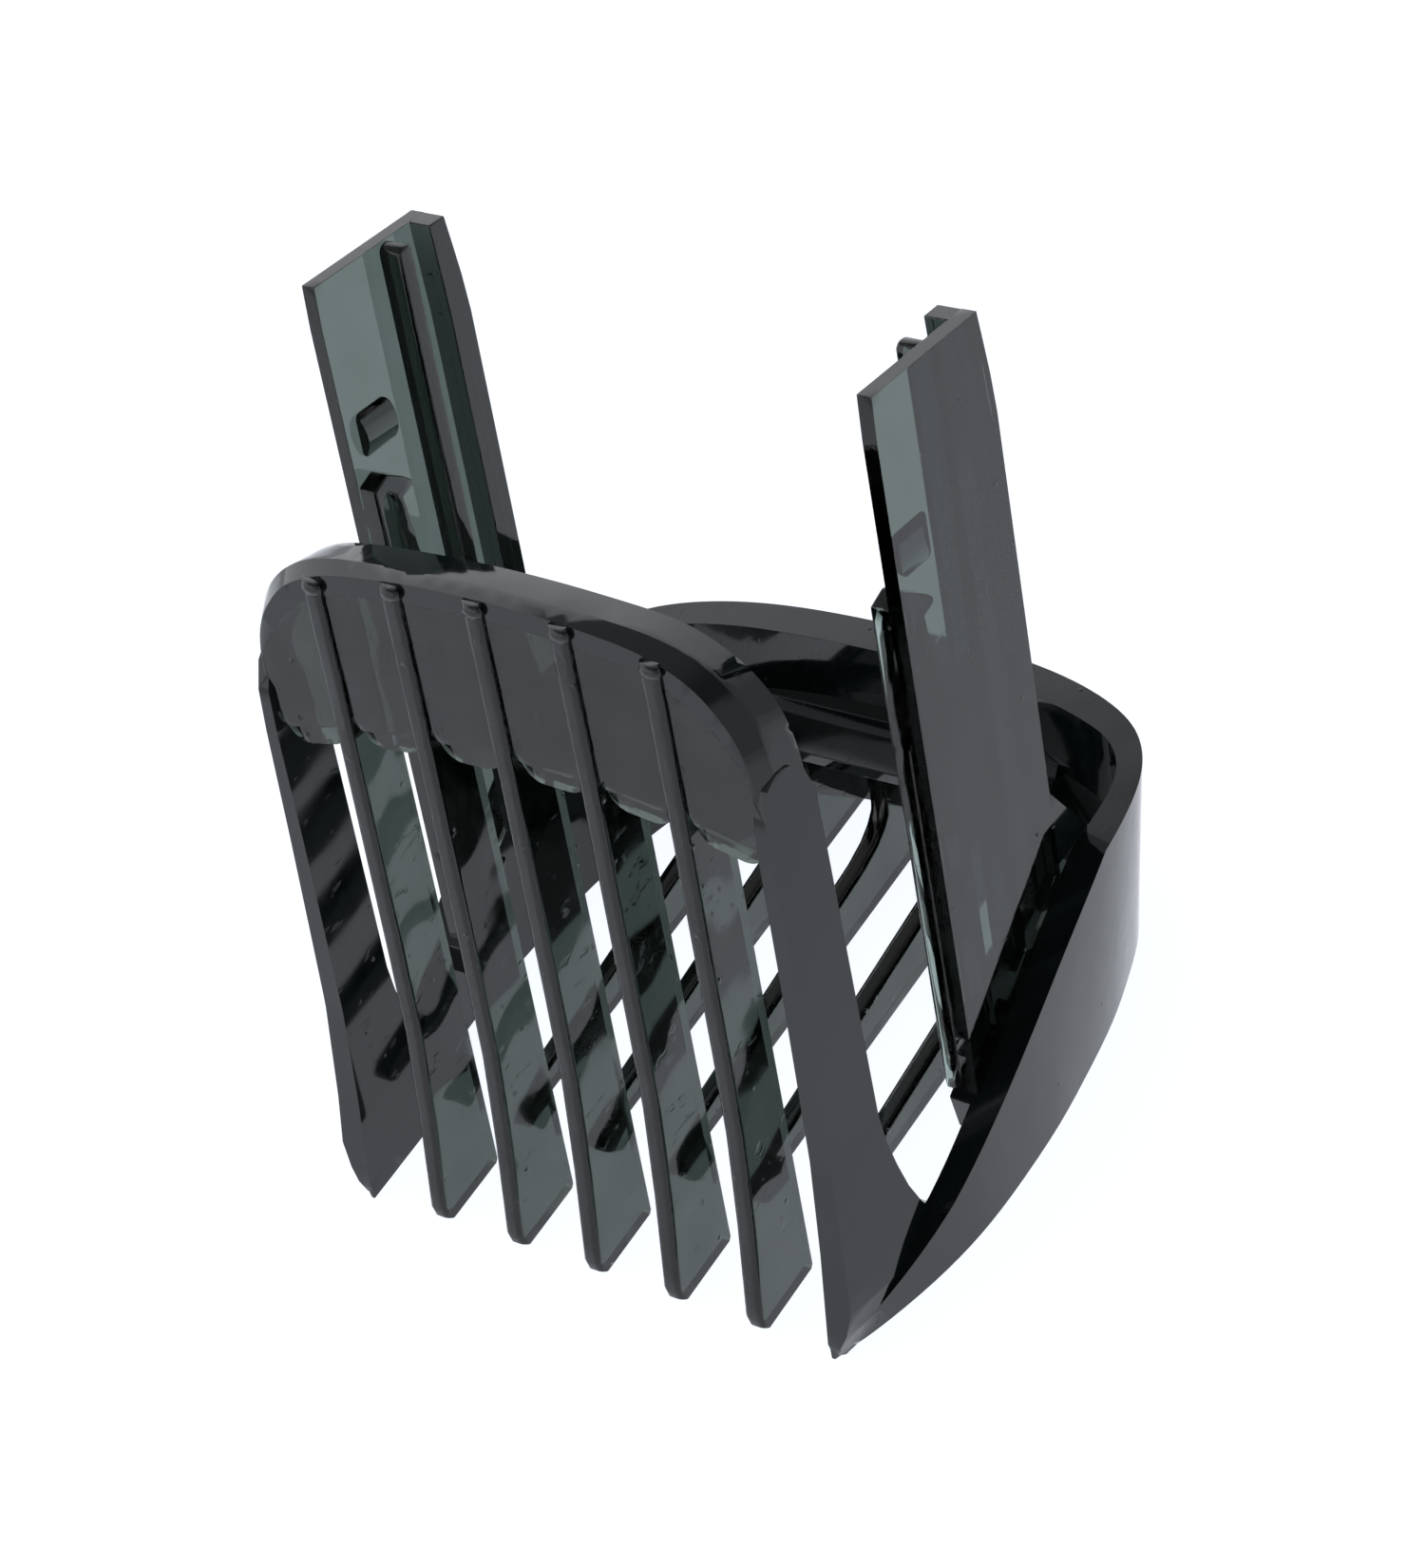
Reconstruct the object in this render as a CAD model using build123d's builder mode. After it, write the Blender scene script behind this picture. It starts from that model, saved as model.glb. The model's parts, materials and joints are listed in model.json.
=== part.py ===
from build123d import *
import os
from math import atan, cos, hypot, sin

os.makedirs("parts", exist_ok=True)

# Frame: X runs across the teeth, the teeth are toward -Y, Z is up.
# Z = 0 is the skin plane the comb glides on.  All lengths are millimetres.

# ---- driving dimensions ---------------------------------------------------
lean = atan(0.2245)          # the tooth frame and the rails lean back by this
front_y = -25.77             # Y of the tooth tips' foot line
tooth_pitch = 7.2
tooth_thickness = 1.5
tooth_rear_depth = 6.0
rib_above_face = 0.8         # the front rib of a tooth runs this far over the arch
tooth_count = 5

face_depth = 1.95            # front face of the arch and web panels
leg_inner_x = 20.9
leg_rear_depth = 6.4
leg_blank_front = -1.5       # leg blanks reach past the finished side outline
leg_blank_rear = 14.4

web_step = 0.6               # lower part of a web panel sits this far back
web_rear_depth = 3.9
web_drop = 1.75              # and reaches this much lower

bar_thickness = 1.6
bar_front = 9.5
ledge_front = 43.1
ledge_underside = 8.5
ledge_top = 9.6

rim_height = 16.3
wall_at_skin = 1.6
split_x = 18.0               # the band is divided here into back and sides

rail_outer_x = 24.0
rail_inner_x = 22.85
rail_front_depth = 16.3
rail_rear_depth = 29.45
rail_top = 67.35
rail_top_rear = 28.65
rib_tip_x = 20.97
mid_rib_front = 23.4
mid_rib_rear = 24.9
rear_rib_thickness = 2.2
rear_rib_bend = 60.0         # height from which the rear rib follows the rail's taper
rib_chamfer = 0.4
block_tip_x = 21.3
block_rear_depth = 20.2
groove_depth = 0.55          # of the groove along the tip of a stop block
groove_shoulder = 0.6
root_reach = 0.9             # a rail root stands this far in from its rail
root_width = 4.0
detent_depth = 19.2          # middle of the detent on the rail
detent_rail_height = 55.0
detent_width = 3.3
detent_height = 0.85
detent_span = 3.5            # along the rail
detent_radius = 2.4          # of its rounded crest
detent_corner = 0.5
ledge_rise_half = 14.5       # half width of the fillet between ledge and wall

far = 80.0                   # larger than the whole comb, for trimming


# ---- planes ---------------------------------------------------------------
def leaned(depth, height):
    """Y and Z of a point given along the leaning depth and height axes."""
    y = front_y + depth * cos(lean) + height * sin(lean)
    z = -depth * sin(lean) + height * cos(lean)
    return y, z


def lean_side(x):
    """Side plane at x: local axes are leaning depth and leaning height."""
    return Plane(origin=(x, front_y, 0), x_dir=(0, cos(lean), -sin(lean)), z_dir=(1, 0, 0))


def lean_face(depth):
    """Plane of the tooth frame at a depth, local axes X and height."""
    y, z = leaned(depth, 0)
    return Plane(origin=(0, y, z), x_dir=(1, 0, 0), z_dir=(0, -cos(lean), sin(lean)))


def lean_level(height):
    """Plane across the leaning height axis, local axes X and depth."""
    y, z = leaned(0, height)
    return Plane(origin=(0, y, z), x_dir=(1, 0, 0), z_dir=(0, sin(lean), cos(lean)))


def skin_side(x):
    """Side plane at x: local axes are distance from the front and Z."""
    return Plane(origin=(x, front_y, 0), x_dir=(0, 1, 0), z_dir=(1, 0, 0))


def skin_level(z):
    """Level plane, local axes X and distance from the front."""
    return Plane(origin=(0, front_y, z), x_dir=(1, 0, 0), z_dir=(0, 0, 1))


def finish(name, part):
    part.label = name
    export_step(part, "parts/" + name + ".step")
    print(name, round(part.volume, 2), len(part.solids()))


# ---- lower band: a U-shaped wall open at the front --------------------------
# Half outlines from the middle of the back round to the front end,
# given as (X, distance from the front).
skin_half = [
    (0, 49.5), (5.0, 49.35), (10.0, 48.8), (15.0, 47.6), (18.6, 45.8), (21.3, 43.0),
    (23.1, 38.6), (24.3, 34.0), (25.1, 28.6), (25.55, 24.0), (25.65, 19.4),
    (25.4, 13.8), (23.7, 6.0), (22.2, 2.0), (21.35, 0.1),
]
rim_half = [
    (0, 51.85), (5.4, 51.75), (10.8, 51.35), (15.8, 50.45), (19.5, 49.2), (22.6, 47.35),
    (24.9, 44.35), (26.05, 40.55), (26.6, 35.85), (26.7, 28.3), (26.6, 19.6),
    (26.2, 13.6), (25.4, 6.0), (24.95, 2.0), (24.7, 0.1),
]
# Wall thickness at the rim, for the same points from the back to the front.
rim_walls = [2.9, 2.9, 2.8, 2.6, 2.4, 2.1, 1.9, 2.1, 2.6, 3.1, 3.2, 3.1, 2.9, 2.8, 2.8]
front_reach = -8.0           # outlines run on past the front and are trimmed
front_reach_x = 17.8
front_gap_middle = 4.0       # the band is open here, between the legs
front_gap_length = 16.0


def moved_in(half, walls):
    """Half outline moved toward the inside of the band by the walls."""
    moved = []
    for index, (x, y) in enumerate(half):
        wall = walls[index]
        before = half[max(index - 1, 0)]
        after = half[min(index + 1, len(half) - 1)]
        run = (after[0] - before[0], after[1] - before[1])
        length = hypot(*run)
        moved.append((x + wall * run[1] / length, y - wall * run[0] / length))
    moved[0] = (0, half[0][1] - walls[0])
    return moved


def band_section(half, walls, z):
    """Right half of the band outline at a level, moved in by the walls."""
    points = moved_in(half, walls)
    start = points[0]
    end = points[-1]
    with BuildSketch(skin_level(z)) as section:
        with BuildLine():
            Spline(*points, tangents=[(1, 0), (-0.4, -1)])
            Polyline(end, (front_reach_x - walls[-1], front_reach), (0, front_reach), start)
        make_face()
    return section.sketch


no_walls = [0] * len(skin_half)
skin_walls = [wall_at_skin] * len(skin_half)

# Each side is lofted from the skin to the rim, then mirrored.
with BuildPart() as band_outside:
    loft([band_section(skin_half, no_walls, 0), band_section(rim_half, no_walls, rim_height)])
    mirror(about=Plane.YZ)

with BuildPart() as band_inside:
    loft([band_section(skin_half, skin_walls, 0), band_section(rim_half, rim_walls, rim_height)])
    mirror(about=Plane.YZ)

# Top edge of the band in side view: level at the back, sloping to the tips.
rim_line = [(-4.0, -0.6), (0.2, 0.9), (11.45, 5.0), (36.1, rim_height), (far, rim_height)]

with BuildPart() as above_rim:
    with BuildSketch(skin_side(-far / 2)):
        Polygon(*rim_line, (far, far), (-4.0, far), align=None)
    extrude(amount=far)

with BuildPart() as ahead_of_tips:
    with BuildSketch(lean_side(-far / 2)):
        Polygon((-far, -far), (-0.3, -far), (-0.3, 1.6), (0.9, far), (-far, far), align=None)
    extrude(amount=far)

with BuildPart() as band:
    add(band_outside.part)
    add(band_inside.part, mode=Mode.SUBTRACT)
    add(above_rim.part, mode=Mode.SUBTRACT)
    add(ahead_of_tips.part, mode=Mode.SUBTRACT)
    with Locations((0, front_y + front_gap_middle, rim_height / 2)):
        Box(2 * leg_inner_x, front_gap_length, 2 * rim_height, mode=Mode.SUBTRACT)

with BuildPart() as back_wall:
    add(band.part)
    Box(2 * split_x, 2 * far, 2 * far, mode=Mode.INTERSECT)
finish("back_wall", back_wall.part)

for name, side in (("left", -1), ("right", 1)):
    with BuildPart() as skirt:
        add(band.part)
        with Locations((side * (split_x + far / 2), 0, 0)):
            Box(far, 2 * far, 2 * far, mode=Mode.INTERSECT)
    finish(name + "_skirt", skirt.part)


# ---- cross ledge inside the back wall ----------------------------------------
with BuildPart() as cross_ledge:
    add(band_inside.part)
    ledge_middle = (ledge_underside + ledge_top) / 2
    with Locations((0, front_y + ledge_front + far / 2, ledge_middle)):
        Box(2 * far, far, ledge_top - ledge_underside, mode=Mode.INTERSECT)
ledge_rise_side = [(46.4, ledge_top), (47.3, 10.3), (50.0, 10.8), (50.0, ledge_top)]
with BuildPart() as ledge_rise:
    with BuildSketch(skin_side(-ledge_rise_half)):
        Polygon(*ledge_rise_side, align=None)
    extrude(amount=2 * ledge_rise_half)
    add(band_inside.part, mode=Mode.INTERSECT)
with BuildPart() as whole_ledge:
    add(cross_ledge.part)
    add(ledge_rise.part)
finish("cross_ledge", whole_ledge.part)


# ---- rear bars: glide on the skin, rooted in the back wall and the ledge ------
bar_outline = [
    (bar_front + 0.5, 0), (60.0, 0), (60.0, ledge_underside), (ledge_front + 0.1, ledge_underside),
    (42.9, 6.9), (42.2, 5.9), (41.3, 5.2), (40.1, 4.65), (38.0, 4.2), (31.6, 3.65),
    (14.8, 2.15), (bar_front + 0.5, 1.7), (bar_front, 1.2), (bar_front, 0.4),
]
for number in range(1, tooth_count + 1):
    x = (number - 3) * tooth_pitch
    with BuildPart() as rear_bar:
        with BuildSketch(skin_side(x - bar_thickness / 2)):
            Polygon(*bar_outline, align=None)
        extrude(amount=bar_thickness)
        add(band_inside.part, mode=Mode.INTERSECT)
    finish("rear_bar_" + str(number), rear_bar.part)


# ---- arch over the tooth frame -------------------------------------------------
# Half outlines of the arch seen from the front, as (X, height).
arch_front_half = [
    (0, 55.5), (6.0, 55.35), (10.0, 54.95), (13.0, 54.5), (15.5, 53.7), (17.5, 52.6),
    (19.2, 50.9), (20.4, 49.0), (21.0, 46.9), (21.15, 42.0),
]
arch_crown_half = [
    (0, 55.8), (6.0, 55.65), (10.1, 55.35), (13.4, 55.0), (16.1, 54.3), (18.2, 53.2),
    (20.1, 51.4), (21.2, 49.4), (21.8, 47.0), (21.95, 42.0),
]
arch_rear_half = [
    (0, 55.5), (6.0, 55.35), (10.0, 55.1), (13.0, 54.8), (15.5, 54.2), (17.6, 53.2),
    (19.5, 51.8), (20.9, 50.0), (21.8, 47.6), (22.2, 42.0),
]
arch_inner_half = [
    (0, 54.0), (6.0, 53.85), (10.0, 53.45), (13.0, 52.95), (15.3, 52.1), (17.2, 50.9),
    (18.8, 49.4), (20.0, 47.9), (leg_inner_x, 46.2),
]
arch_crown_depth = 3.3       # the band is highest here and falls to both edges
arch_foot = 43.5


def arch_outline(half):
    """Edges of an arch outline, closed straight across below its feet."""
    mirrored = [(-x, y) for x, y in half[:0:-1]]
    last = half[-1]
    with BuildLine() as edge:
        Spline(*mirrored, *half)
        Polyline(last, (last[0], 0), (-last[0], 0), (-last[0], last[1]))
    return edge.edges()


with BuildPart() as arch_outside:
    with BuildSketch(lean_face(face_depth)) as front_section:
        make_face(arch_outline(arch_front_half))
    with BuildSketch(lean_face(arch_crown_depth)) as crown_section:
        make_face(arch_outline(arch_crown_half))
    with BuildSketch(lean_face(tooth_rear_depth)) as rear_section:
        make_face(arch_outline(arch_rear_half))
    loft([front_section.sketch, crown_section.sketch])
    loft([crown_section.sketch, rear_section.sketch])

# The space under the arch, running on past both faces.
with BuildPart() as under_arch:
    with BuildSketch(lean_face(far / 4)):
        make_face(arch_outline(arch_inner_half))
    extrude(amount=far / 2)


# ---- side legs --------------------------------------------------------------
# Outer face of a leg: X at the front edge and at the rear edge, by height.
leg_sections = [
    (-12.0, 21.5, 22.5), (0.3, 21.6, 23.2), (2.4, 22.6, 23.55), (4.4, 23.1, 23.65),
    (8.2, 22.85, 23.5),
    (17.2, 22.4, 23.1), (31.2, 22.0, 22.8), (47.0, 21.5, 22.45),
]
leg_side = [
    (-0.45, 1.3), (0.45, 8.6), (1.1, 16.2), (1.25, 23.2), (1.4, 31.2), (1.45, 40.2),
    (1.6, 43.6), (2.3, 45.6), (3.3, 46.4), (4.6, 46.4), (5.7, 45.6), (leg_rear_depth, 43.6),
    (leg_rear_depth, 16.8), (6.65, 14.6), (7.15, 12.4), (7.8, 10.2), (8.7, 8.2), (9.9, 6.5),
    (11.9, 5.1), (11.2, 4.1), (9.0, 4.5), (7.4, 4.4), (6.5, 3.6), (6.2, 1.4), (0.35, 0.08),
    (-0.2, 0.35),
]


def leg_part(side):
    with BuildPart() as leg:
        for height, front_x, rear_x in leg_sections:
            flare = (rear_x - front_x) / leg_rear_depth
            with BuildSketch(lean_level(height)):
                Polygon((side * leg_inner_x, leg_blank_front),
                        (side * (front_x + leg_blank_front * flare), leg_blank_front),
                        (side * (front_x + leg_blank_rear * flare), leg_blank_rear),
                        (side * leg_inner_x, leg_blank_rear), align=None)
        loft(ruled=True)
        with BuildSketch(lean_side(-far / 2)):
            Polygon(*leg_side, align=None)
        extrude(amount=far, mode=Mode.INTERSECT)
    return leg.part


left_leg_whole = leg_part(-1)
right_leg_whole = leg_part(1)

with BuildPart() as front_arch:
    add(arch_outside.part)
    add(under_arch.part, mode=Mode.SUBTRACT)
    with BuildSketch(lean_side(-far / 2)):
        Polygon((-far, -far), (far, -far), (far, arch_foot), (-far, arch_foot), align=None)
    extrude(amount=far, mode=Mode.SUBTRACT)
    add(left_leg_whole, mode=Mode.SUBTRACT)
    add(right_leg_whole, mode=Mode.SUBTRACT)
finish("front_arch", front_arch.part)

for name, whole in (("left", left_leg_whole), ("right", right_leg_whole)):
    with BuildPart() as leg:
        add(whole)
        add(band.part, mode=Mode.SUBTRACT)
    finish(name + "_leg", leg.part)


# ---- front teeth --------------------------------------------------------------
def tooth_side(rib_top):
    """Side outline of a tooth in depth and height; the rib ends at rib_top."""
    shoulder = rib_top - rib_above_face
    return [
        (-0.45, 1.3), (0.45, 8.6), (1.1, 16.2), (1.25, 23.2), (1.35, 31.2), (1.45, 40.2),
        (1.5, rib_top), (face_depth, rib_top), (face_depth, shoulder),
        (tooth_rear_depth, shoulder), (tooth_rear_depth, 1.6),
        (5.8, 1.3), (0.35, 0.08), (-0.2, 0.35),
    ]


rib_tops = {1: 54.05, 2: 55.15, 3: 55.4, 4: 55.15, 5: 54.05}
for number in range(1, tooth_count + 1):
    x = (number - 3) * tooth_pitch
    with BuildPart() as tooth:
        with BuildSketch(lean_side(x - tooth_thickness / 2)):
            Polygon(*tooth_side(rib_tops[number]), align=None)
        extrude(amount=tooth_thickness)
        add(front_arch.part, mode=Mode.SUBTRACT)
    finish("front_tooth_" + str(number), tooth.part)


# ---- web panels between the teeth, under the arch --------------------------------
# Height of the lower front lip, falling toward the sides.
lip_heights = [(0.0, 43.05), (7.2, 42.8), (14.4, 41.9), (20.9, 40.6)]
web_blank_top = 60.0         # trimmed by the underside of the arch
lip_radius = 1.0
drop_radius = 1.9
up_the_frame = Axis((0, 0, 0), tuple(lean_face(0).y_dir))


def lip_height(x):
    """Height of the lower lip at x, by straight lines between the pairs."""
    x = abs(x)
    for (x0, h0), (x1, h1) in zip(lip_heights, lip_heights[1:]):
        if x <= x1 + 0.01:
            return h0 + (h1 - h0) * (x - x0) / (x1 - x0)


for number in range(1, tooth_count + 2):
    middle = (number - 3.5) * tooth_pitch
    left_x = middle - (tooth_pitch - tooth_thickness) / 2
    right_x = middle + (tooth_pitch - tooth_thickness) / 2
    if number == 1:
        left_x = -leg_inner_x
    if number == tooth_count + 1:
        right_x = leg_inner_x
    with BuildPart() as web:
        low_left = lip_height(left_x)
        low_right = lip_height(right_x)
        with BuildSketch(lean_face(face_depth)):
            front = Polygon((left_x, low_left), (right_x, low_right), (right_x, web_blank_top),
                            (left_x, web_blank_top), align=None)
            lower = front.vertices().sort_by(up_the_frame)[:2]
            fillet(lower, radius=lip_radius)
        extrude(amount=-web_step)
        with BuildSketch(lean_face(face_depth + web_step)):
            rear = Polygon((left_x, low_left - web_drop), (right_x, low_right - web_drop),
                           (right_x, web_blank_top), (left_x, web_blank_top), align=None)
            lower = rear.vertices().sort_by(up_the_frame)[:2]
            fillet(lower, radius=drop_radius)
        extrude(amount=-(web_rear_depth - face_depth - web_step))
        add(under_arch.part, mode=Mode.INTERSECT)
    finish("web_panel_" + str(number), web.part)


# ---- slide rails --------------------------------------------------------------
rail_side = [
    (rail_front_depth, 0), (rail_front_depth, 64.0), (rail_front_depth + 0.15, rail_top),
    (rail_top_rear, rail_top), (28.95, 65.0), (29.25, 62.5), (rail_rear_depth, 59.5),
    (rail_rear_depth, 0),
]
block_side = [
    (rail_front_depth, 0), (rail_front_depth, 51.4), (17.9, 52.05), (19.6, 51.0),
    (20.3, 50.4), (20.3, 50.0), (19.1, 49.6), (19.5, 46.0), (block_rear_depth, 38.0),
    (block_rear_depth, 0),
]
groove_front, groove_rear, groove_top = 16.9, 18.3, 50.7
gusset_side = [(35.15, 22.1), (37.85, rim_height), (32.0, rim_height), (32.0, 22.1)]
root_side = [(17.85, 5.0), (19.4, 5.0), (25.0, 11.0), (25.0, 14.0), (18.0, 14.0)]

with BuildPart() as below_rim:
    with BuildSketch(skin_side(-far / 2)):
        Polygon(*rim_line, (far, -far), (-4.0, -far), align=None)
    extrude(amount=far)


def rib_profile(front_depth, rear_depth, top):
    return [(front_depth, 0), (front_depth, top - rib_chamfer), (front_depth + rib_chamfer, top),
            (rear_depth - rib_chamfer, top), (rear_depth, top - rib_chamfer), (rear_depth, 0)]


for name, side in (("left", -1), ("right", 1)):
    with BuildPart() as rail:
        with BuildSketch(lean_side(side * rail_inner_x)):
            Polygon(*rail_side, align=None)
        extrude(amount=side * (rail_outer_x - rail_inner_x))
        add(below_rim.part, mode=Mode.SUBTRACT)
    finish(name + "_rail", rail.part)

    with BuildPart() as mid_rib:
        with BuildSketch(lean_side(side * rib_tip_x)):
            Polygon(*rib_profile(mid_rib_front, mid_rib_rear, rail_top - 0.2), align=None)
        extrude(amount=side * (rail_inner_x - rib_tip_x))
        add(below_rim.part, mode=Mode.SUBTRACT)
    finish(name + "_mid_rib", mid_rib.part)

    with BuildPart() as rear_rib:
        with BuildSketch(lean_side(side * rib_tip_x)):
            Polygon(*rail_side, align=None)
        extrude(amount=side * (rail_inner_x - rib_tip_x))
        with BuildSketch(lean_side(side * rib_tip_x)):
            Polygon((0, -far), (rail_rear_depth - rear_rib_thickness, -far),
                    (rail_rear_depth - rear_rib_thickness, rear_rib_bend),
                    (rail_top_rear - rear_rib_thickness, far), (0, far), align=None)
        extrude(amount=side * far, both=True, mode=Mode.SUBTRACT)
        add(below_rim.part, mode=Mode.SUBTRACT)
    finish(name + "_rear_rib", rear_rib.part)

    with BuildPart() as stop_block:
        with BuildSketch(lean_side(side * block_tip_x)):
            Polygon(*block_side, align=None)
        extrude(amount=side * (rail_inner_x - block_tip_x))
        with BuildSketch(lean_side(side * block_tip_x)):
            Polygon((groove_front, 0), (groove_front, groove_top - groove_shoulder),
                    ((groove_front + groove_rear) / 2, groove_top),
                    (groove_rear, groove_top - groove_shoulder), (groove_rear, 0), align=None)
        extrude(amount=side * groove_depth, mode=Mode.SUBTRACT)
        add(below_rim.part, mode=Mode.SUBTRACT)
    finish(name + "_stop_block", stop_block.part)

    with BuildPart() as rail_root:
        with BuildSketch(skin_side(side * (rail_inner_x - root_reach))):
            Polygon(*root_side, align=None)
        extrude(amount=side * root_width)
        add(above_rim.part, mode=Mode.SUBTRACT)
        add(band_inside.part, mode=Mode.INTERSECT)
    finish(name + "_rail_root", rail_root.part)

    with BuildPart() as detent:
        with BuildSketch(lean_side(side * rail_inner_x)):
            with Locations((detent_depth, detent_rail_height)):
                RectangleRounded(detent_width, detent_span, detent_corner)
        extrude(amount=-side * detent_height)
        with BuildSketch(lean_face(0)):
            crest_x = side * (rail_inner_x - detent_height + detent_radius)
            with Locations((crest_x, detent_rail_height)):
                Circle(detent_radius)
        extrude(amount=-far, mode=Mode.INTERSECT)
    finish(name + "_detent", detent.part)

    with BuildPart() as gusset:
        with BuildSketch(skin_side(side * rail_inner_x)):
            Polygon(*gusset_side, align=None)
        extrude(amount=side * (rail_outer_x - rail_inner_x))
        with BuildSketch(lean_side(side * rail_inner_x)):
            Polygon((0, -far), (rail_rear_depth, -far), (rail_rear_depth, far), (0, far), align=None)
        extrude(amount=side * far, both=True, mode=Mode.SUBTRACT)
    finish(name + "_gusset", gusset.part)
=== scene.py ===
import json
import math

import bmesh
import bpy
import numpy as np
from mathutils import Matrix, Vector
from mathutils.bvhtree import BVHTree

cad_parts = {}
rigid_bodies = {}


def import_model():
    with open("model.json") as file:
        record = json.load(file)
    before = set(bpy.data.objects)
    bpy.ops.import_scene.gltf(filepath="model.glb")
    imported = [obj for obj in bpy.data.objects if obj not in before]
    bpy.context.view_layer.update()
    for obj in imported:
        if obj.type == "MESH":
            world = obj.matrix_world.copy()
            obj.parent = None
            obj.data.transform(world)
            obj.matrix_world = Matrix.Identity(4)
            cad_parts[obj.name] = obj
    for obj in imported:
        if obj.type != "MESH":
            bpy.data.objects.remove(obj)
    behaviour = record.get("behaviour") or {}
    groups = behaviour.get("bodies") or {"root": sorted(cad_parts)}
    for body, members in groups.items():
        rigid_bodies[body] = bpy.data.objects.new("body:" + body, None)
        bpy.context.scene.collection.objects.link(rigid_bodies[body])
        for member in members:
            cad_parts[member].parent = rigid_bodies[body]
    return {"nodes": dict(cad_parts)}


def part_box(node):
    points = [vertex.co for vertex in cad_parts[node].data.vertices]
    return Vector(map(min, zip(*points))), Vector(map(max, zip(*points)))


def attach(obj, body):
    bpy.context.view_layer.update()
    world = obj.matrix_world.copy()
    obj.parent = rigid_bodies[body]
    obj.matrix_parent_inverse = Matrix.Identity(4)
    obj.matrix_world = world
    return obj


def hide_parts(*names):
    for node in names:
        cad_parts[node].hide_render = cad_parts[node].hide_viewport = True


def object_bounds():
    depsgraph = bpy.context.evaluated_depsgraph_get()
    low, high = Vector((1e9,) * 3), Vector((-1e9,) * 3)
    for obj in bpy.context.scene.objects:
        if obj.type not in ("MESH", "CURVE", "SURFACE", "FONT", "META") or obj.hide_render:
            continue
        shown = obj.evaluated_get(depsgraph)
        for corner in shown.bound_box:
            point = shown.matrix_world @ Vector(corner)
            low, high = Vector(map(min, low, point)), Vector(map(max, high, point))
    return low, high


MM = 0.001  # lengths below are metres

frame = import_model()
cad_low, cad_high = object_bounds()
scene = bpy.context.scene

# ------------------------------------------------------------------ camera
# Its place and axes, solved from the even teeth, the comb's symmetry and its flat underside.
EYE = Vector((0.17402, -0.15315, 0.2274))
EYE_RIGHT = Vector((0.80018, 0.53130, -0.27826))
EYE_DOWN = Vector((0.21097, -0.68364, -0.69866))
EYE_AHEAD = Vector((-0.56143, 0.50035, -0.65913))
FOCAL_LENGTH = 99.43  # for a sensor 36 wide
SENSOR_WIDTH = 36.0

lens = bpy.data.cameras.new("photo_camera")
lens.lens = FOCAL_LENGTH
lens.sensor_width = SENSOR_WIDTH
lens.clip_start = 0.01
lens.clip_end = 20.0
camera = bpy.data.objects.new("photo_camera", lens)
turn = Matrix((EYE_RIGHT, -EYE_DOWN, -EYE_AHEAD)).transposed()
camera.matrix_world = Matrix.Translation(EYE) @ turn.to_4x4()
scene.collection.objects.link(camera)
scene.camera = camera
scene.view_settings.view_transform = "Standard"

# ------------------------------------------------------- rounded CAD solids
# Edge radii of the moulding, by a word in the node's name.
ROUND = 0.24 * MM  # where no word matches
ROUND_BY_WORD = {
    "rail": 0.38 * MM,
    "rib": 0.3 * MM,
    "block": 0.3 * MM,
    "tooth": 0.34 * MM,
    "bar": 0.34 * MM,
    "leg": 0.34 * MM,
    "arch": 0.3 * MM,
    "web": 0.34 * MM,
}
ROUND_STEPS = 3
# The teeth and bars have almost half-round crests, which face these ways.
CRESTS = {"front_tooth": Vector((0, -0.976, 0.219)), "rear_bar": Vector((0, 0, 1))}
CREST_ROUND = 0.52 * MM
CREST_STEPS = 5
CREST_FACING = 0.5  # least cosine between a crest's top face and its way
SIDE_FACING = 0.95  # least sideways part of the normal of a crest's side face
# The knobs where the teeth's ribs meet the arch: half sizes, and places from a tooth's top.
KNOB = Vector((0.91, 0.51, 0.63)) * MM
KNOB_ASIDE = 0.12 * MM
KNOB_BACK = 0.12 * MM
KNOB_DOWN = 0.69 * MM

GROW = 0.005 * MM  # each solid grows by this, so that neighbours overlap and fuse
LONGEST_MOVE = 3 * GROW
SAME_WAY = 0.9995  # normals with a larger dot product count as one
RCOND = 0.05  # least squares cutoff, which steadies corners between nearly flat faces
TINY = 1e-12  # keeps a zero length from being divided by
CORNER_GAP = 1e-6  # the exported corners of one CAD vertex lie closer than this
FLAT = math.radians(0.15)  # faces within this angle are joined
SHARP = math.radians(22)  # edges with a smaller angle aren't rounded
CREASE = math.radians(38)  # edges with a larger angle are shaded as creases
SPLIT = 1.6 * MM  # long edges are cut to about this, so that a free stretch can be rounded
PROBE = 0.03 * MM  # how far off an edge its surroundings are probed
PROBED_AT = (0.1, 0.5, 0.9)  # shares of the edge's length
BLOCKED_AT = 2  # an edge isn't free if this many of those places are covered
MERGE = 0.003 * MM  # vertices closer than this are joined after the fusing
SLIVER = 0.002 * MM  # edges shorter than this are dissolved after the fusing
RAY = Vector((0.1371, 0.4423, 0.8863)).normalized()  # sent out to tell inside from outside
RAY_STEP = 1e-7  # a ray goes on this far past each crossing
MOST_CROSSINGS = 40


def merged(node):
    """The node's mesh with its split corners joined and its flat faces whole."""
    bm = bmesh.new()
    bm.from_mesh(frame["nodes"][node].data)
    bmesh.ops.remove_doubles(bm, verts=bm.verts, dist=CORNER_GAP)
    bmesh.ops.dissolve_limit(bm, angle_limit=FLAT, verts=bm.verts, edges=bm.edges)
    bmesh.ops.recalc_face_normals(bm, faces=bm.faces)
    bm.normal_update()
    return bm


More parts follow.
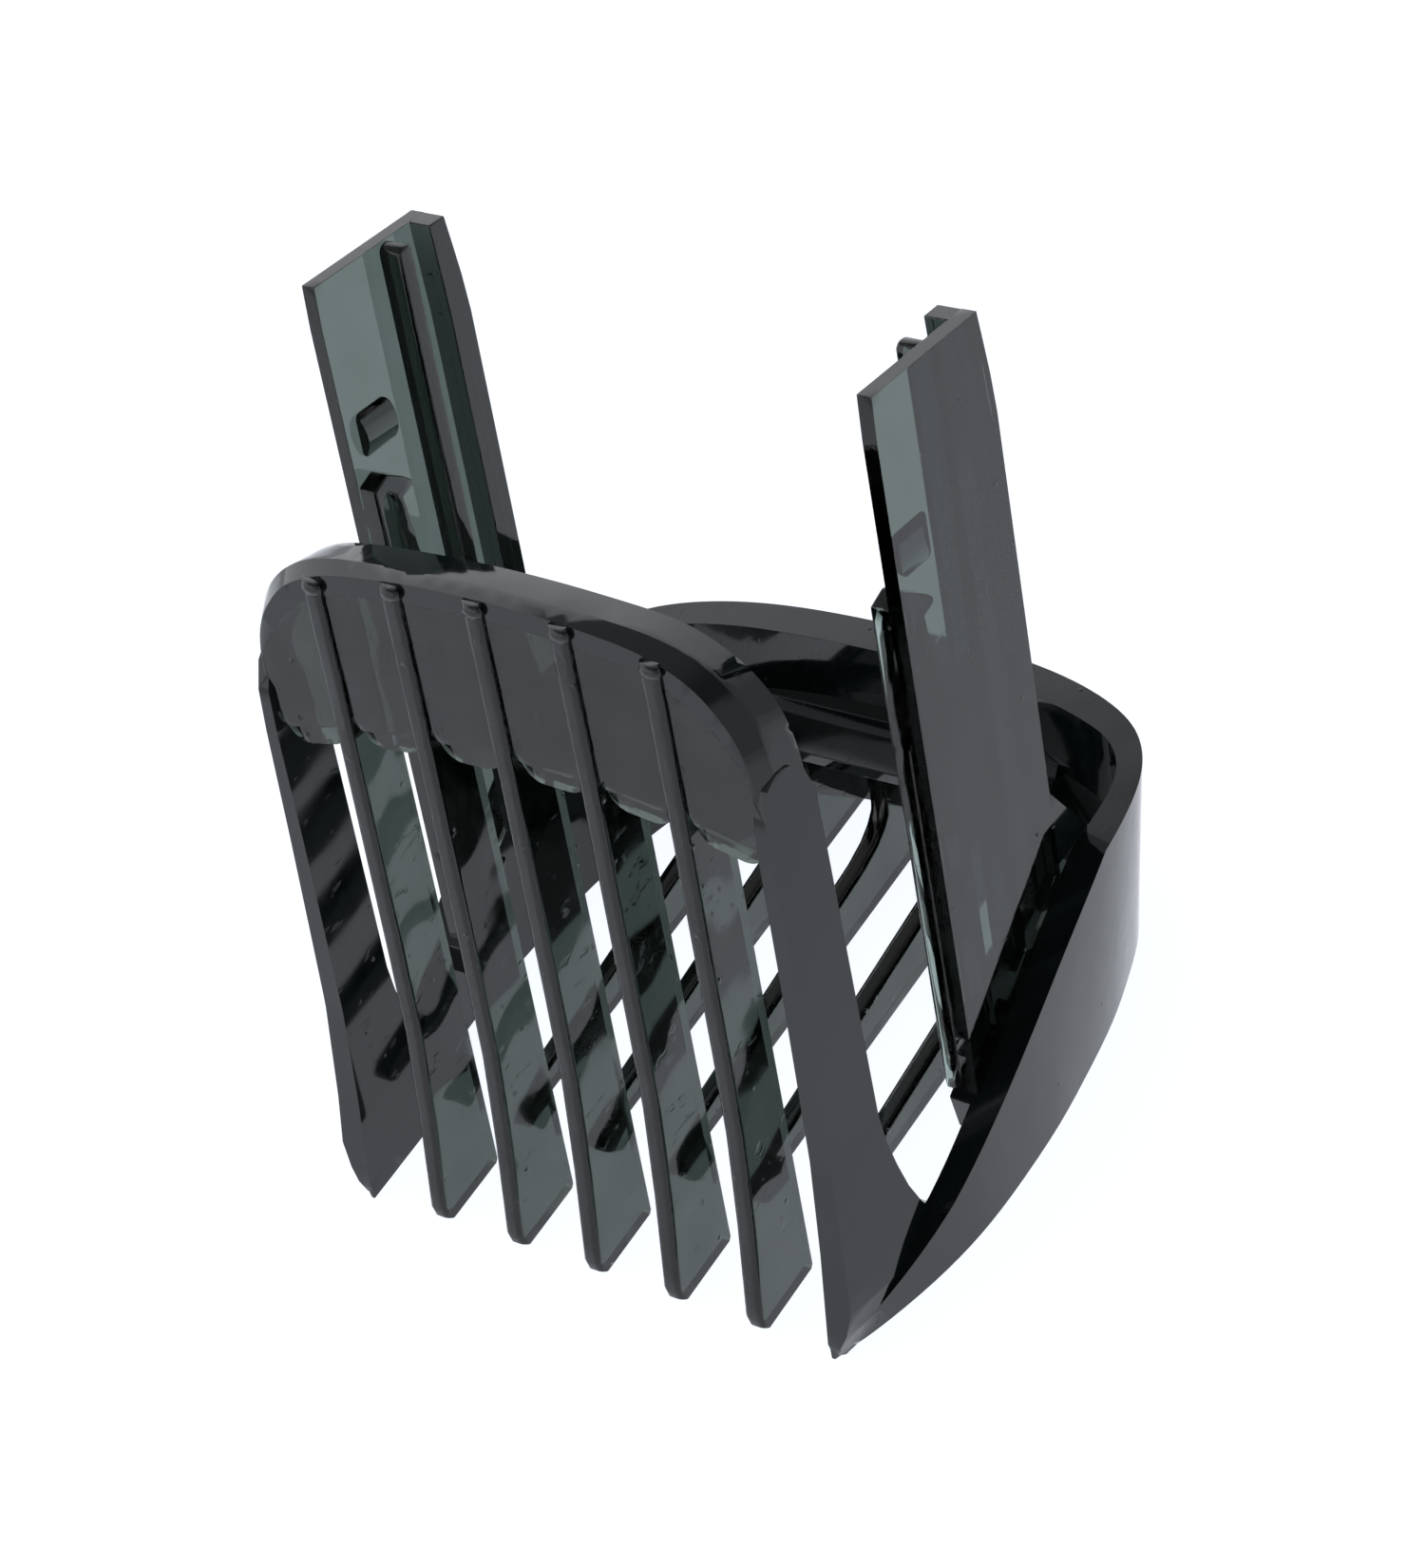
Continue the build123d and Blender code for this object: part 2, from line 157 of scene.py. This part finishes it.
def grow(bm):
    """Moves every face out by GROW."""
    moves = []
    for v in bm.verts:
        normals = []
        for f in v.link_faces:
            if not any(f.normal.dot(n) > SAME_WAY for n in normals):
                normals.append(f.normal.copy())
        rows = np.array([list(n) for n in normals])
        move = np.linalg.lstsq(rows, np.full(len(normals), GROW), rcond=RCOND)[0]
        length = float(np.linalg.norm(move))
        moves.append(Vector(move * min(1.0, LONGEST_MOVE / max(length, TINY))))
    for v, move in zip(bm.verts, moves):
        v.co += move
    bm.normal_update()


def inside(tree, point):
    """True if a ray from the point crosses the solid's skin an odd number of times."""
    crossings = 0
    start = point.copy()
    for _ in range(MOST_CROSSINGS):
        hit = tree.ray_cast(start, RAY)
        if hit[0] is None:
            break
        crossings += 1
        start = hit[0] + RAY * RAY_STEP
    return crossings % 2 == 1


def near(low, high, box):
    """True if the two boxes overlap or are within PROBE of each other."""
    return all(low[i] - PROBE < box[1][i] and high[i] + PROBE > box[0][i] for i in range(3))


def free_edges(bm, others):
    """The sharp outer edges that no neighbouring solid touches."""
    chosen = []
    for e in bm.edges:
        if len(e.link_faces) != 2 or not e.is_convex or e.calc_face_angle(0) < SHARP:
            continue
        n1, n2 = (f.normal for f in e.link_faces)
        out = (n1 + n2).normalized()
        a, b = (v.co for v in e.verts)
        blocked = 0
        for share in PROBED_AT:
            p = a.lerp(b, share)
            probes = [p + n1 * PROBE, p + n2 * PROBE, p + out * PROBE]
            blocked += any(inside(tree, q) for tree in others for q in probes)
        if blocked < BLOCKED_AT:
            chosen.append(e)
    return chosen


def bevel(bm, edges, radius, segments):
    """Rounds the edges."""
    if edges:
        bmesh.ops.bevel(
            bm,
            geom=edges,
            offset=radius,
            offset_type="OFFSET",
            segments=segments,
            profile=0.5,
            affect="EDGES",
            clamp_overlap=True,
            miter_outer="SHARP",
        )


def edge_radius(node):
    """The edge radius of the node."""
    for word, radius in ROUND_BY_WORD.items():
        if word in node and "root" not in node:
            return radius
    return ROUND


def crest_edges(bm, others, facing):
    """The free edges between a crest's top face and its side faces."""
    return [
        e
        for e in free_edges(bm, others)
        if max(f.normal.dot(facing) for f in e.link_faces) > CREST_FACING
        and max(abs(f.normal.x) for f in e.link_faces) > SIDE_FACING
    ]


def rounded(node, trees):
    """The node's mesh, a little grown, with its free edges rounded."""
    bm = merged(node)
    long_edges = [
        e
        for e in bm.edges
        if len(e.link_faces) == 2 and e.calc_face_angle(0) > SHARP and e.calc_length() > 2 * SPLIT
    ]
    for e in long_edges:
        bmesh.ops.subdivide_edges(bm, edges=[e], cuts=int(e.calc_length() / SPLIT))
    bm.normal_update()
    low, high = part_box(node)
    others = [t for n, t in trees.items() if n != node and near(low, high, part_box(n))]
    for word, facing in CRESTS.items():
        if word in node:
            bevel(bm, crest_edges(bm, others, facing), CREST_ROUND, CREST_STEPS)
            bm.normal_update()
    edges = free_edges(bm, others)
    grow(bm)
    bevel(bm, edges, edge_radius(node), ROUND_STEPS)
    bmesh.ops.triangulate(bm, faces=bm.faces)
    return bm


def tree_of(node):
    """The node's skin, for finding what is inside it."""
    bm = merged(node)
    bmesh.ops.triangulate(bm, faces=bm.faces)
    tree = BVHTree.FromBMesh(bm)
    bm.free()
    return tree


def rib_end(node):
    """The small rounded knob that ends a tooth's rib under the arch's front edge."""
    top = max((v.co for v in frame["nodes"][node].data.vertices), key=lambda co: co.z)
    low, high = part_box(node)
    middle = (low[0] + high[0]) / 2
    bm = bmesh.new()
    bmesh.ops.create_icosphere(bm, subdivisions=3, radius=1.0)
    bmesh.ops.scale(bm, vec=KNOB, verts=bm.verts)
    place = Vector((middle + KNOB_ASIDE, top.y + KNOB_BACK, top.z - KNOB_DOWN))
    bmesh.ops.translate(bm, vec=place, verts=bm.verts)
    return bm


def united(name, solids):
    """One mesh that is the union of the named solids."""
    holder = bpy.data.collections.new(name + "_parts")
    scene.collection.children.link(holder)
    first = None
    for node, bm in solids:
        mesh = bpy.data.meshes.new("part_" + node)
        bm.to_mesh(mesh)
        bm.free()
        part = bpy.data.objects.new("part_" + node, mesh)
        if first is None:
            first = part
            scene.collection.objects.link(part)
        else:
            holder.objects.link(part)
    join = first.modifiers.new("join", "BOOLEAN")
    join.operation = "UNION"
    join.operand_type = "COLLECTION"
    join.collection = holder
    join.solver = "MANIFOLD"
    graph = bpy.context.evaluated_depsgraph_get()
    mesh = bpy.data.meshes.new_from_object(first.evaluated_get(graph))
    for part in list(holder.objects) + [first]:
        bpy.data.objects.remove(part)
    bpy.data.collections.remove(holder)
    return mesh


def cleaned(mesh):
    """Joins what the union left split, keeps to the CAD box and marks the creases."""
    bm = bmesh.new()
    bm.from_mesh(mesh)
    bmesh.ops.remove_doubles(bm, verts=bm.verts, dist=MERGE)
    bmesh.ops.dissolve_degenerate(bm, edges=bm.edges, dist=SLIVER)
    gaps = [e for e in bm.edges if len(e.link_faces) == 1]
    filled = bmesh.ops.holes_fill(bm, edges=gaps, sides=0)["faces"]
    bmesh.ops.triangulate(bm, faces=filled)
    for v in bm.verts:
        v.co = Vector(min(max(v.co[i], cad_low[i]), cad_high[i]) for i in range(3))
    for e in bm.edges:
        e.smooth = len(e.link_faces) == 2 and e.calc_face_angle(0) < CREASE
    for f in bm.faces:
        f.smooth = True
    bm.to_mesh(mesh)
    bm.free()


def fused(name, nodes):
    """One moulded piece made of the rounded nodes, and of the knobs on its teeth."""
    solids = [(node, rounded(node, TREES)) for node in nodes]
    solids += [(node + "_end", rib_end(node)) for node in nodes if node.startswith("front_tooth")]
    mesh = united(name, solids)
    cleaned(mesh)
    mesh.name = name
    piece = bpy.data.objects.new(name, mesh)
    scene.collection.objects.link(piece)
    weigh = piece.modifiers.new("normals", "WEIGHTED_NORMAL")
    weigh.mode = "FACE_AREA"
    weigh.weight = 50
    weigh.keep_sharp = True
    return piece


NODES = sorted(frame["nodes"])
TREES = {node: tree_of(node) for node in NODES}
RAIL_WORDS = ("rail", "rib", "block", "detent")


def arm_nodes(side):
    """The slide rail on one side, with its ribs, block and detent."""
    return [
        n for n in NODES if n.startswith(side) and any(w in n for w in RAIL_WORDS) and "root" not in n
    ]


left_nodes = arm_nodes("left")
right_nodes = arm_nodes("right")
tooth_nodes = [n for n in NODES if n.startswith(("front_tooth", "web_panel"))]
bar_nodes = [n for n in NODES if n.startswith("rear_bar")]
taken = left_nodes + right_nodes + tooth_nodes + bar_nodes
body_nodes = [n for n in NODES if n not in taken]

# ---------------------------------------------------------------- material
IOR = 1.47
ABSORBED = (0.17, 0.20, 0.19, 1)
# Scales of the patterns, in repeats per metre.
MOTTLE_SCALE = 260.0
RIPPLE_SCALE = 230.0
HAIRLINE_SCALE = 900.0
HAIRLINE_STRETCH = (9.0, 0.5, 1.2)
HAIRLINE_TURN = (0.3, 0.2, 0.5)
DUST_SCALE = 520.0
NOISE_ROUGHNESS = 0.55
# Which spans of the patterns' values make a scratch, a dust speck and a dusty place, and
# which span of the mottle goes from the clearest to the haziest.
SCRATCH_SPAN = (0.66, 0.72)
DUST_SPAN = (0.05, 0.12)
DUSTY_SPAN = (0.5, 0.56)
MOTTLE_SPAN = (0.3, 0.7)
# What they add to the roughness, and to the bump's height next to the ripple's 1.
SCRATCH_ROUGHNESS = 0.10
DUST_ROUGHNESS = 0.30
SCRATCH_DEPTH = 0.08
DUST_HEIGHT = 0.6
# Clearest and haziest places, as shares of the haze, and darkest and palest, of the tint.
HAZE_SHARES = (0.7, 1.4)
TINT_SHARES = (0.9, 1.07)


def map_range(nodes, span, result, smooth=False):
    """A node that turns a value's span into the result's span."""
    made = nodes.new("ShaderNodeMapRange")
    if smooth:
        made.interpolation_type = "SMOOTHSTEP"
    made.inputs["From Min"].default_value = span[0]
    made.inputs["From Max"].default_value = span[1]
    made.inputs["To Min"].default_value = result[0]
    made.inputs["To Max"].default_value = result[1]
    return made


def smoke_plastic(name, seed, density, tint, haze, flow):
    """Glossy smoke-tinted plastic: a clear skin over grey-green absorption.

    With no density it is so thick that it is opaque, and tint is its faint
    own colour.

    The skin has slight flow ripples from moulding, fine hairline scratches,
    mottled haze and a few dust specks.  The seed shifts the noises, haze is
    about the mean roughness, and flow is the bump's height in metres.
    """
    mat = bpy.data.materials.new(name)
    mat.use_nodes = True
    tree = mat.node_tree
    tree.nodes.clear()
    link = tree.links.new

    def math_node(operation, first, second):
        made = tree.nodes.new("ShaderNodeMath")
        made.operation = operation
        for socket, value in zip(made.inputs, (first, second)):
            if isinstance(value, float):
                socket.default_value = value
            else:
                link(value, socket)
        return made.outputs[0]

    def mapped(value, span, result):
        made = map_range(tree.nodes, span, result)
        link(value, made.inputs["Value"])
        return made.outputs[0]

    place = tree.nodes.new("ShaderNodeTexCoord").outputs["Object"]

    def noise(scale, detail, stretch=(1, 1, 1), turn=(0, 0, 0)):
        spread = tree.nodes.new("ShaderNodeMapping")
        spread.inputs["Location"].default_value = (seed, 2 * seed, 3 * seed)
        spread.inputs["Rotation"].default_value = turn
        spread.inputs["Scale"].default_value = stretch
        link(place, spread.inputs["Vector"])
        made = tree.nodes.new("ShaderNodeTexNoise")
        made.inputs["Scale"].default_value = scale
        made.inputs["Detail"].default_value = detail
        made.inputs["Roughness"].default_value = NOISE_ROUGHNESS
        link(spread.outputs[0], made.inputs["Vector"])
        return made.outputs["Fac"]

    mottle = noise(MOTTLE_SCALE, detail=3.0)
    ripple = noise(RIPPLE_SCALE, detail=0.0)
    hairline = noise(HAIRLINE_SCALE, detail=2.0, stretch=HAIRLINE_STRETCH, turn=HAIRLINE_TURN)
    scratch = mapped(hairline, SCRATCH_SPAN, (0.0, 1.0))
    dots = tree.nodes.new("ShaderNodeTexVoronoi")
    dots.inputs["Scale"].default_value = DUST_SCALE
    dots.inputs["Randomness"].default_value = 1.0
    link(place, dots.inputs["Vector"])
    speck = mapped(dots.outputs["Distance"], DUST_SPAN, (1.0, 0.0))
    dusty = mapped(mottle, DUSTY_SPAN, (0.0, 1.0))
    dust = math_node("MULTIPLY", speck, dusty)

    rough = mapped(mottle, MOTTLE_SPAN, (haze * HAZE_SHARES[0], haze * HAZE_SHARES[1]))
    rough = math_node("ADD", rough, math_node("MULTIPLY", scratch, SCRATCH_ROUGHNESS))
    rough = math_node("ADD", rough, math_node("MULTIPLY", dust, DUST_ROUGHNESS))

    shade = tree.nodes.new("ShaderNodeValToRGB")
    for element, position, share in zip(shade.color_ramp.elements, MOTTLE_SPAN, TINT_SHARES):
        element.position = position
        element.color = (*(min(1.0, share * c) for c in tint), 1)
    link(mottle, shade.inputs["Fac"])

    height = math_node("SUBTRACT", ripple, math_node("MULTIPLY", scratch, SCRATCH_DEPTH))
    height = math_node("ADD", height, math_node("MULTIPLY", dust, DUST_HEIGHT))
    bump = tree.nodes.new("ShaderNodeBump")
    bump.inputs["Strength"].default_value = 1.0
    bump.inputs["Distance"].default_value = flow
    link(height, bump.inputs["Height"])

    out = tree.nodes.new("ShaderNodeOutputMaterial")
    skin = tree.nodes.new("ShaderNodeBsdfPrincipled")
    skin.inputs["IOR"].default_value = IOR
    skin.inputs["Transmission Weight"].default_value = 1.0 if density else 0.0
    link(shade.outputs["Color"], skin.inputs["Base Color"])
    link(rough, skin.inputs["Roughness"])
    link(bump.outputs["Normal"], skin.inputs["Normal"])
    link(skin.outputs[0], out.inputs["Surface"])
    if density:
        inner = tree.nodes.new("ShaderNodeVolumeAbsorption")
        inner.inputs["Color"].default_value = ABSORBED
        inner.inputs["Density"].default_value = density
        link(inner.outputs[0], out.inputs["Volume"])
    return mat


BLACK = (0.0028, 0.0050, 0.0052)
SMOKE = (0.80, 0.98, 0.88)
body_mat = smoke_plastic("smoke_body", seed=1.0, density=0.0, tint=BLACK, haze=0.06, flow=0.00002)
grid_mat = smoke_plastic("smoke_grid", seed=2.0, density=1950.0, tint=SMOKE, haze=0.05, flow=0.00013)
rail_mat = smoke_plastic("smoke_rail", seed=4.0, density=1820.0, tint=SMOKE, haze=0.04, flow=0.00002)

pieces = {
    "frame_band": (body_nodes, body_mat, "frame_smoke"),
    "tooth_grid": (tooth_nodes, grid_mat, "frame_smoke"),
    "rear_bars": (bar_nodes, grid_mat, "band_smoke"),
    "left_arm": (left_nodes, rail_mat, "rail_smoke"),
    "right_arm": (right_nodes, rail_mat, "rail_smoke"),
}
for name, (nodes, material, slot) in pieces.items():
    piece = fused(name, nodes)
    piece.data.materials.clear()
    piece.data.materials.append(material)
    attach(piece, "root")
    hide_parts(*nodes)

# ------------------------------------------------------- floor and lighting
FLOOR_HALF = 2.0
FLOOR_GAP = 0.02 * MM  # the floor lies this far under the comb
FLOOR_GREY = (0.2, 0.2, 0.2, 1)
# Colour of the floor's painted light, an emission that makes the floor glow.
FLOOR_PAINTED_LIGHT = (0.92, 0.96, 1.04, 1)
# The floor's emission is painted light, since the floor is no lamp. It is a pool of light brightest
# round the comb, where it washes out the comb's contact shadow, and it dims between these distances.
PAINTED_LIGHT_FADE = (0.20, 0.60)
PAINTED_LIGHT_STRENGTHS = (1.0, 0.65)
# A wide soft light stands all round.  It dims as the direction rises between these
# heights, and as it turns towards +X between these sideways parts.
SKY_COLOUR = (0.97, 0.985, 1.02, 1)
SKY_HEIGHTS = (0.63, 0.72)
SKY_STRENGTHS = (1.45, 0.4)
ASIDE_SPAN = (0.0, 0.5)
ASIDE_SHARES = (1.0, 0.4)

mesh = bpy.data.meshes.new("floor")
bm = bmesh.new()
bmesh.ops.create_grid(bm, x_segments=8, y_segments=8, size=FLOOR_HALF)
bm.to_mesh(mesh)
bm.free()
floor = bpy.data.objects.new("floor", mesh)
floor.location.z = cad_low.z - FLOOR_GAP
scene.collection.objects.link(floor)

floor_mat = bpy.data.materials.new("floor_painted_light")
floor_mat.use_nodes = True
sheet = floor_mat.node_tree.nodes
sheet.clear()
out = sheet.new("ShaderNodeOutputMaterial")
mix = sheet.new("ShaderNodeAddShader")
matt = sheet.new("ShaderNodeBsdfDiffuse")
matt.inputs["Color"].default_value = FLOOR_GREY
# Painted light: the floor glows brightest round the comb and washes out its shadow there.
painted_light = sheet.new("ShaderNodeEmission")
painted_light.inputs["Color"].default_value = FLOOR_PAINTED_LIGHT
spot = sheet.new("ShaderNodeTexCoord")
away = sheet.new("ShaderNodeVectorMath")
away.operation = "LENGTH"
painted_light_fade = map_range(sheet, PAINTED_LIGHT_FADE, PAINTED_LIGHT_STRENGTHS, smooth=True)
sheet_link = floor_mat.node_tree.links.new
sheet_link(spot.outputs["Object"], away.inputs[0])
sheet_link(away.outputs["Value"], painted_light_fade.inputs["Value"])
sheet_link(painted_light_fade.outputs[0], painted_light.inputs["Strength"])
sheet_link(matt.outputs[0], mix.inputs[0])
sheet_link(painted_light.outputs[0], mix.inputs[1])
sheet_link(mix.outputs[0], out.inputs["Surface"])
floor.data.materials.append(floor_mat)

world = bpy.data.worlds.new("studio")
scene.world = world
world.use_nodes = True
sky = world.node_tree.nodes
sky_link = world.node_tree.links.new
way = sky.new("ShaderNodeTexCoord")
split = sky.new("ShaderNodeSeparateXYZ")
above = map_range(sky, SKY_HEIGHTS, SKY_STRENGTHS, smooth=True)
aside = map_range(sky, ASIDE_SPAN, ASIDE_SHARES, smooth=True)
both = sky.new("ShaderNodeMath")
both.operation = "MULTIPLY"
sky_link(way.outputs["Generated"], split.inputs[0])
sky_link(split.outputs["Z"], above.inputs["Value"])
sky_link(split.outputs["X"], aside.inputs["Value"])
sky_link(above.outputs[0], both.inputs[0])
sky_link(aside.outputs[0], both.inputs[1])
sky_link(both.outputs[0], sky["Background"].inputs["Strength"])
sky["Background"].inputs["Color"].default_value = SKY_COLOUR
